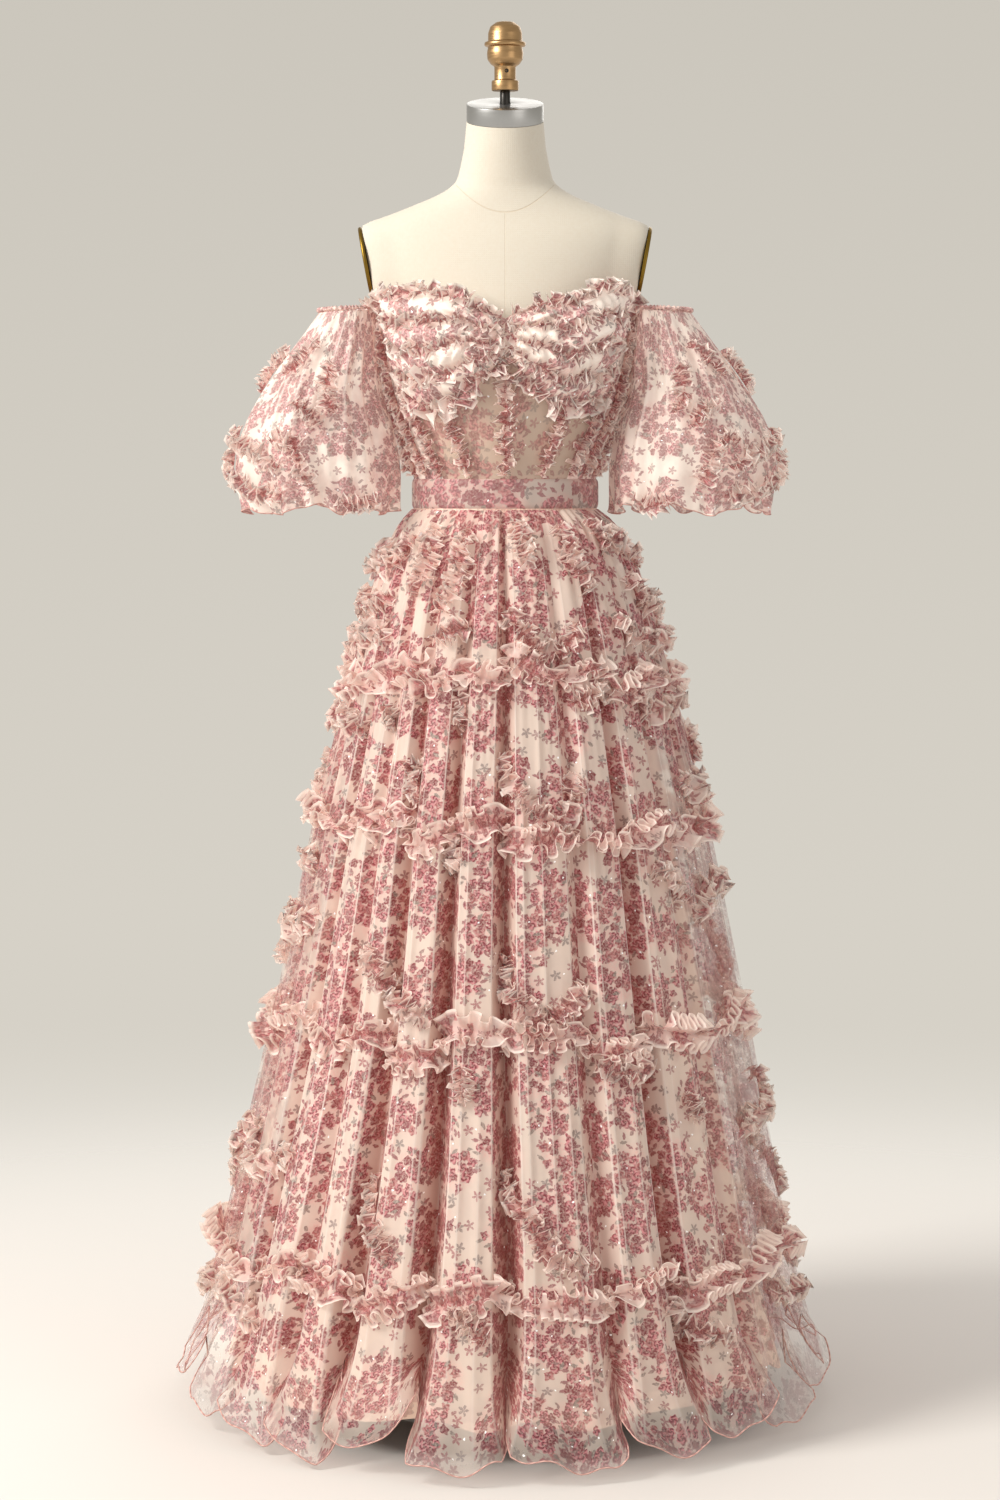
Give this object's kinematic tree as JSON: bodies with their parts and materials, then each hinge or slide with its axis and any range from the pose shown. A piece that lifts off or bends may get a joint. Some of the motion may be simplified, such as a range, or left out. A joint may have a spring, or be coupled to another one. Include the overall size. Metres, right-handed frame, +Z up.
{
  "type": "prom dress on dress form",
  "caption": "Off-the-shoulder floor-length dress of sheer pleated floral organza with gathered frills and puff sleeves, worn by a limbless dress form on a stand.",
  "frame": {"origin": "middle of the stand base's underside, on the floor", "axes": "+Z up, the front of the dress faces -Y, the wearer's left is +X"},
  "size_m": [0.8297, 0.8946, 1.75],
  "materials": {
    "organza": "sheer printed organza over blush",
    "frill": "gathered organza strips with pale raw edges",
    "lining": "blush lining",
    "form_cloth": "cream linen over a padded form",
    "finial_gold": "satin",
    "steel": "brushed",
    "dark_steel": "dark satin",
    "stand_paint": "satin"
  },
  "bodies": {
    "dress": {"arm_plate_left": "dark_steel", "arm_plate_right": "dark_steel", "back_panel_left": "organza", "back_panel_right": "organza", "centre_frill": "frill", "cuff_frill_left": "frill", "cuff_frill_right": "frill", "cup_frill_left_1": "frill", "cup_frill_left_2": "frill", "cup_frill_left_3": "frill", "cup_frill_right_1": "frill", "cup_frill_right_2": "frill", "cup_frill_right_3": "frill", "cup_left": "organza", "cup_right": "organza", "finial": "finial_gold", "form_torso": "form_cloth", "frill_row_1": "frill", "frill_row_2": "frill", "frill_row_3": "frill", "frill_row_4": "frill", "garland_1": "frill", "garland_2": "frill", "garland_3": "frill", "garland_4": "frill", "garland_5": "frill", "lining_back_left": "lining", "lining_back_right": "lining", "lining_front": "lining", "midriff_front_left": "organza", "midriff_front_right": "organza", "midriff_side_front_left": "organza", "midriff_side_front_right": "organza", "neck_cap": "steel", "neck_post": "dark_steel", "princess_frill_left": "frill", "princess_frill_right": "frill", "side_frill_left": "frill", "side_frill_right": "frill", "side_panel_left": "organza", "side_panel_right": "organza", "skirt_back_left": "organza", "skirt_back_right": "organza", "skirt_front": "organza", "sleeve_band_left": "organza", "sleeve_band_right": "organza", "sleeve_frill_left": "frill", "sleeve_frill_right": "frill", "sleeve_left": "organza", "sleeve_right": "organza", "stand_base": "stand_paint", "stand_pole": "stand_paint", "waistband_back_left": "organza", "waistband_back_right": "organza", "waistband_front": "organza", "zip_chain": "dark_steel", "zip_slider": "steel"},
    "pull": {"zip_pull": "steel"}
  },
  "joints": [
    {"name": "pull_swing", "type": "hinge", "parent": "dress", "child": "pull", "pos_m": [0, 0.10433, 1.3635], "axis": [1, 0, 0], "range_deg": [0, 150]}
  ]
}
